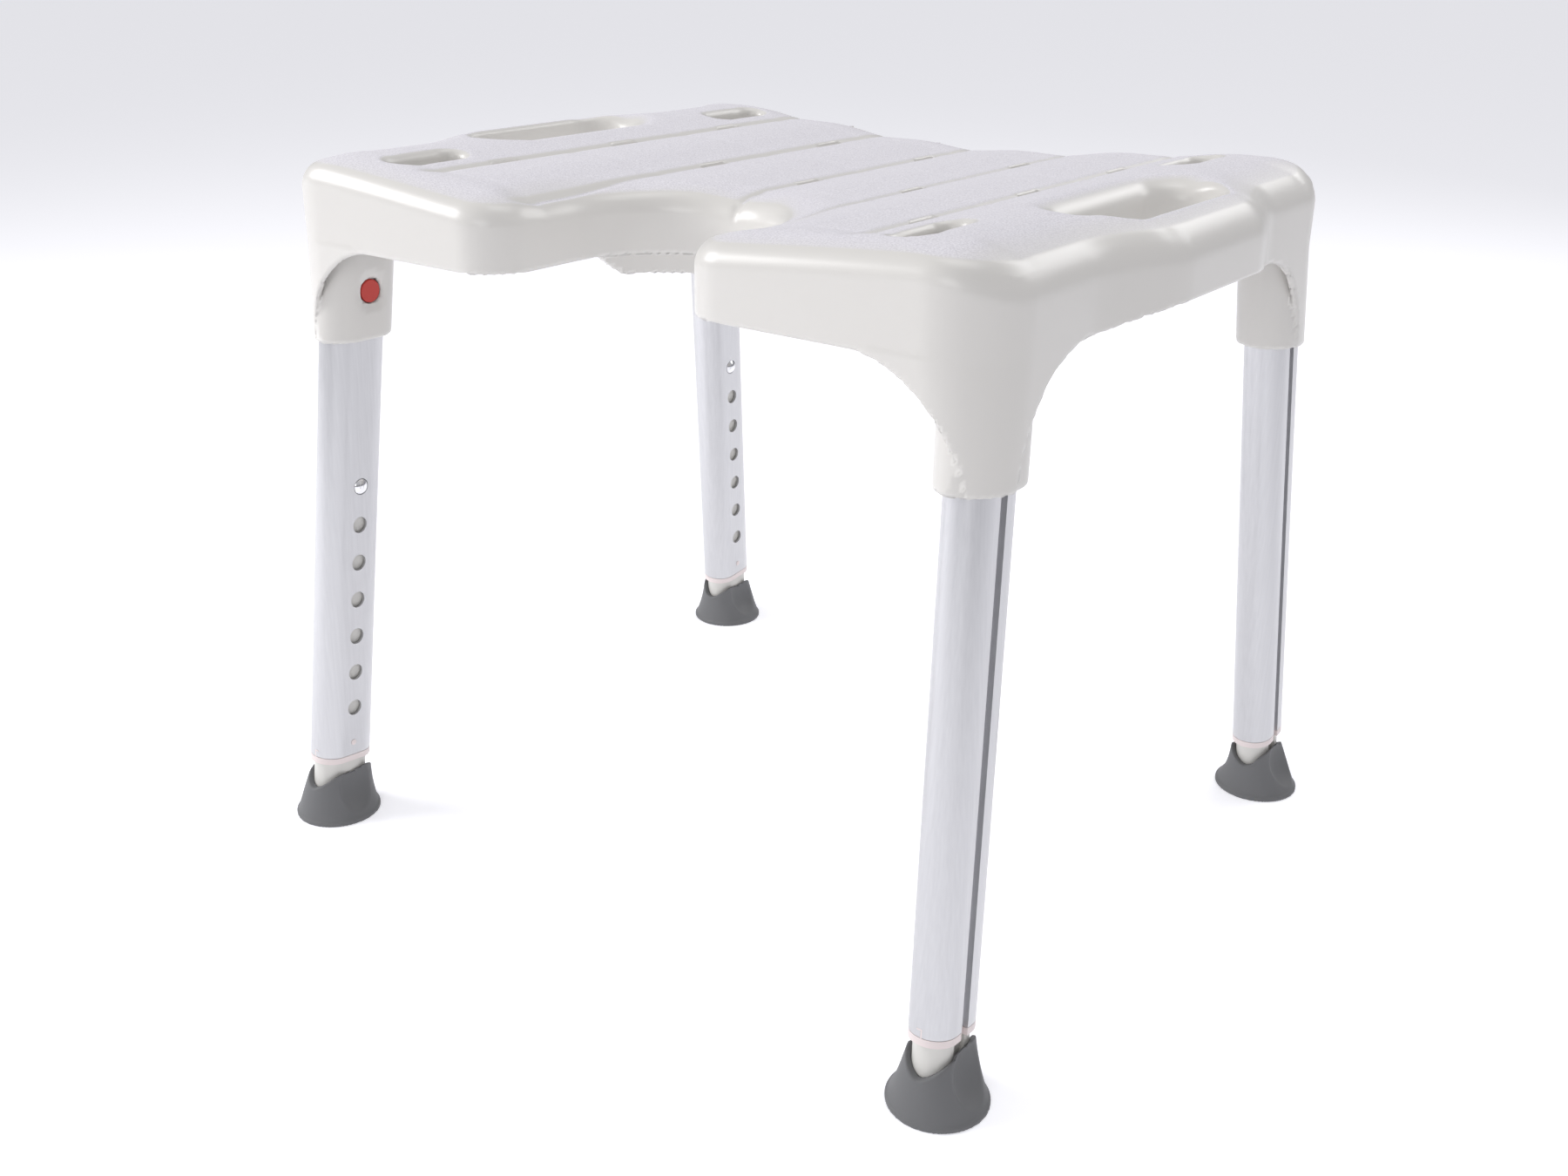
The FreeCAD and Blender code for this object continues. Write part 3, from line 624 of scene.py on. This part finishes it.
# ---------------------------------------------------------------- pieces
def seat_grid():
    """The grid that the seat is meshed on: finest where slots, grips and sleeves are."""
    grow = 1.0
    coarse, fine, along, up = [step * grow for step in SEAT_STEPS]
    middle = mirrored(grid_lines(0.5 * fine, 264.0, coarse, fine, SEAT_FINE_X))
    back = grid_lines(MIDDLE_Y - HALF_DEPTH - 5.3, MIDDLE_Y + HALF_DEPTH + 5.0, along)
    height = grid_lines(SLEEVE_Z - 5.4, CENTRE_Z + 24, up)
    return [middle, back, height], 0.5 * coarse


def build_seat():
    """The moulded seat, and the straight ribs under it."""
    axes, reach = seat_grid()
    vertices, faces = surface_net(seat_field, axes)
    vertices = settle(seat_field, vertices, reach)
    normals = shading_normals(seat_field, vertices, faces)
    plastic = seat_plastic()
    seat = mesh_piece("seat", vertices, faces, normals, plastic, ROOT_BODY)
    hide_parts("seat_shell")
    build_ribs(plastic)


def rib_plates():
    """Each straight rib as the stations along it and half its thickness as a vector."""
    back = MIDDLE_Y + HALF_DEPTH - WALL / 2
    across = np.linspace(-CROSS_RIB_REACH, CROSS_RIB_REACH, RIB_STATIONS)
    for column in RIB_COLUMNS:
        yield [(column * PITCH, y) for y in (RIB_FRONT_Y, back)], (RIB_HALF, 0.0)
    for y in CROSS_RIB_YS:
        yield [(x, y) for x in across], (0.0, -RIB_HALF)


def rib_section(x, y, half_x, half_y):
    """A rib's four corners at one station: two below, then two under the dish."""
    upper = dish(x) - RIB_INSET
    corners = ((-1, RIB_Z), (1, RIB_Z), (1, upper), (-1, upper))
    return [(x + side * half_x, y + side * half_y, z) for side, z in corners]


def plate_faces(first, last):
    """Quads that close a plate of four-cornered sections, from the first section to the last."""
    faces = []
    for here in range(first, last, 4):
        for k in range(4):
            following = (k + 1) % 4
            faces.append((here + following, here + k, here + 4 + k, here + 4 + following))
    faces.append(tuple(first + k for k in range(4)))
    faces.append(tuple(last + k for k in reversed(range(4))))
    return faces


def build_ribs(plastic):
    """Straight ribs under the seat: plates whose upper edges follow the dish."""
    vertices, faces = [], []
    for stations, half in rib_plates():
        first = len(vertices)
        for x, y in stations:
            vertices.extend(rib_section(x, y, *half))
        faces.extend(plate_faces(first, len(vertices) - 4))
    vertices, faces = np.array(vertices), np.array(faces)
    grid = mesh_piece("seat_ribs", vertices, faces, None, plastic, ROOT_BODY)
    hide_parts("seat_shell")


def build_feet():
    """Four rubber boots: the front right one, mirrored for the other corners."""
    step = FOOT_STEP
    cx, cy = FOOT_CENTRE
    axes = [
        grid_lines(cx - 29.7, cx + 29.0, step),
        grid_lines(cy - 29.7, cy + 29.0, step),
        grid_lines(-1.6, 40.0, step),
    ]
    vertices, faces = surface_net(foot_field, axes)
    vertices = settle(foot_field, vertices, 0.5 * step)
    vertices[:, 2] = np.maximum(vertices[:, 2], 0.0)
    normals = shading_normals(foot_field, vertices, faces)
    rubber = foot_rubber()
    for corner, (side, end) in CORNERS.items():
        flip = np.array([side, -end, 1.0])
        turned = faces[:, ::-1] if flip.prod() < 0 else faces
        foot = mesh_piece(
            f"{corner}_boot", vertices * flip, turned, normals * flip, rubber,
            f"{corner}_leg",
        )
        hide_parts(f"{corner}_foot")


def dress_nodes():
    """Materials for the CAD pieces that stay as they are."""
    finishes = {
        "leg_tube": tube_aluminium(),
        "tube_collar": plain("collar_plastic", (0.72, 0.64, 0.63), 0.4),
        "button_carrier": plain("carrier_plastic", (0.5, 0.5, 0.5), 0.5),
        "release_button": plain("button_red", (0.45, 0.03, 0.02), 0.35),
        "release_spring": plain("spring_steel", (0.6, 0.6, 0.62), 0.3, 1.0),
        "snap_spring": plain("spring_strip", (0.6, 0.6, 0.62), 0.3, 1.0),
        "inner_leg": plain("leg_plastic", (0.62, 0.61, 0.58), 0.4),
        "snap_pin": plain("pin_chrome", (0.8, 0.8, 0.82), 0.12, 1.0),
    }
    for corner in CORNERS:
        for part, finish in finishes.items():
            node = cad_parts[f"{corner}_{part}"]
            node.data.materials.clear()
            node.data.materials.append(finish)


# ---------------------------------------------------------------- stage, light and camera
def build_stage():
    """A wide pale floor, like the photograph's paper."""
    bpy.ops.mesh.primitive_plane_add(size=FLOOR_SIZE)
    floor = bpy.context.object
    floor.name = "floor"
    paper, shader = material("floor_paper", (0.92, 0.92, 0.95), 0.9)
    shader.inputs["Emission Color"].default_value = (0.97, 0.97, 1.0, 1.0)
    shader.inputs["Emission Strength"].default_value = 0.3
    floor.data.materials.append(paper)


def area_light(name, place, aim, size, power):
    """A rectangular lamp turned towards its aim."""
    data = bpy.data.lights.new(name, "AREA")
    data.shape = "RECTANGLE"
    data.size, data.size_y = size
    data.energy = power
    lamp = bpy.data.objects.new(name, data)
    lamp.location = place
    direction = np.array(aim) - np.array(place)
    lamp.rotation_euler = (
        math.atan2(math.hypot(direction[0], direction[1]), -direction[2]),
        0.0,
        math.atan2(direction[1], direction[0]) - math.pi / 2,
    )
    bpy.context.scene.collection.objects.link(lamp)


def build_lights():
    """The lamps, and a world that is paler overhead than at the horizon."""
    for name, setting in LIGHTS.items():
        area_light(name, *setting)
    world = bpy.data.worlds.new("studio")
    world.use_nodes = True
    tree = world.node_tree
    direction = tree.nodes.new("ShaderNodeTexCoord")
    split = tree.nodes.new("ShaderNodeSeparateXYZ")
    tree.links.new(direction.outputs["Generated"], split.inputs["Vector"])
    sky = ramp(tree, split.outputs["Z"], (0.45, 0.45, 0.48), (1.0, 1.0, 1.03), 0.0, 0.55)
    background = tree.nodes["Background"]
    tree.links.new(sky, background.inputs["Color"])
    background.inputs["Strength"].default_value = 0.55
    bpy.context.scene.world = world
    bpy.context.scene.view_settings.view_transform = "Standard"


def build_camera():
    """Seen from the front right, a little above the seat."""
    data = bpy.data.cameras.new("camera")
    data.sensor_fit = "HORIZONTAL"
    data.sensor_width = SENSOR_WIDTH
    data.lens = CAMERA_LENS
    camera = bpy.data.objects.new("camera", data)
    camera.location = CAMERA_PLACE
    camera.rotation_euler = (math.pi / 2 - CAMERA_ELEVATION, 0.0, CAMERA_AZIMUTH)
    turned = camera.rotation_euler.to_matrix() @ Matrix.Rotation(CAMERA_ROLL, 3, "Z")
    camera.rotation_euler = turned.to_euler()
    bpy.context.scene.collection.objects.link(camera)
    bpy.context.scene.camera = camera


build_seat()
build_feet()
dress_nodes()
build_stage()
build_lights()
build_camera()
